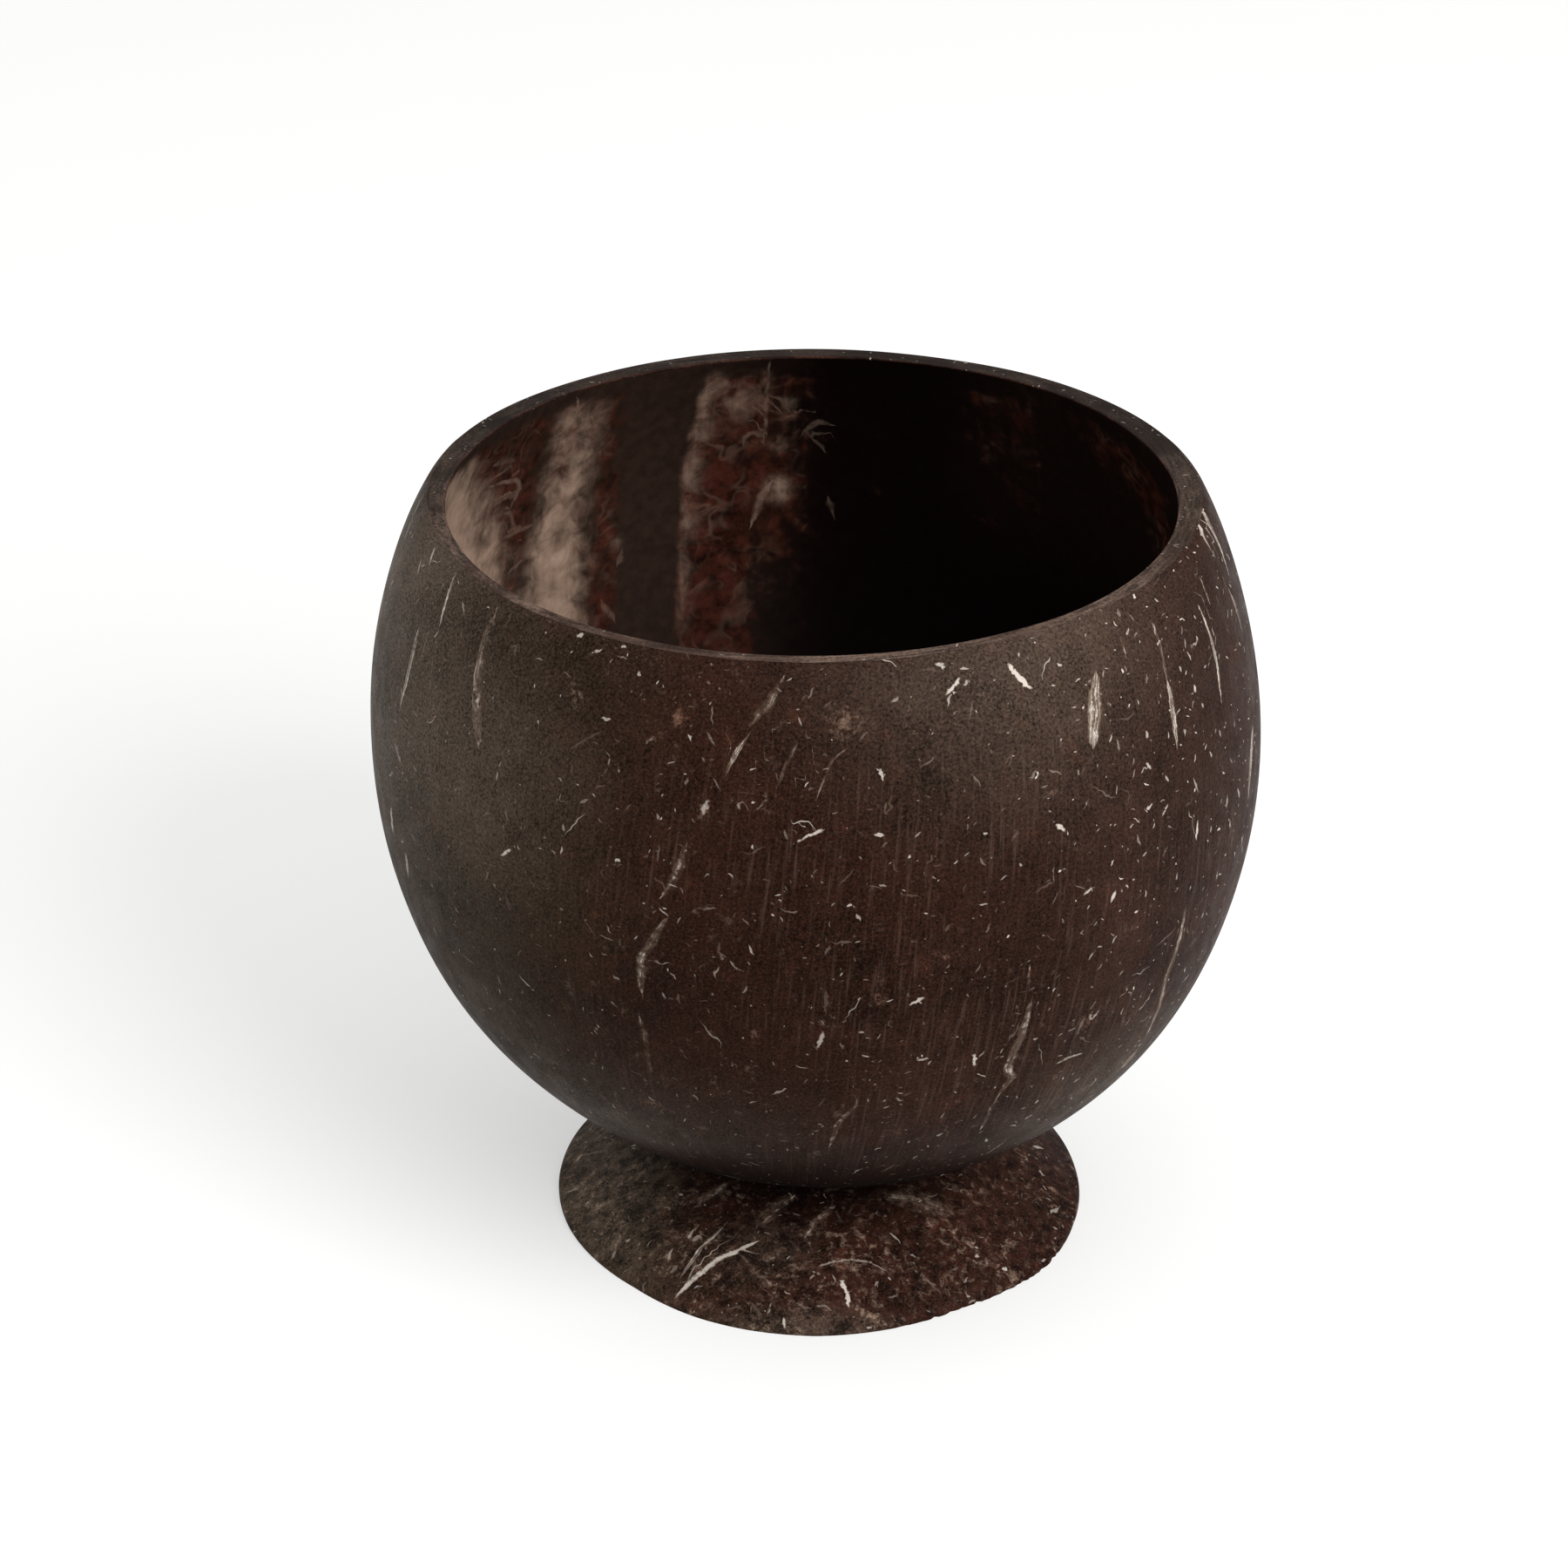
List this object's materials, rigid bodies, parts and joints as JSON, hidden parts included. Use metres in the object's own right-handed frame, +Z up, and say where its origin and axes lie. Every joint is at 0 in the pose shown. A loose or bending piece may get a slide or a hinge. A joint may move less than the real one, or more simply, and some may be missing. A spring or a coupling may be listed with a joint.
{
  "type": "coconut shell cup",
  "caption": "Open rounded drinking cup of polished coconut shell with a flat sanded rim, glued on a shallow domed shell foot.",
  "frame": {"origin": "middle of the ring that the foot stands on, at the bottom of the cup", "axes": "+Z up along the cup's turning axis, out of the mouth; the cup is round, so X and Y are free"},
  "size_m": [0.106, 0.106, 0.0953],
  "materials": {
    "cup_shell": "polished satin",
    "foot_shell": "polished satin",
    "glue_joint": "dull, cured"
  },
  "bodies": {
    "root": {"cup_shell": "cup_shell", "foot_shell": "foot_shell", "glue_joint": "glue_joint"}
  },
  "joints": []
}
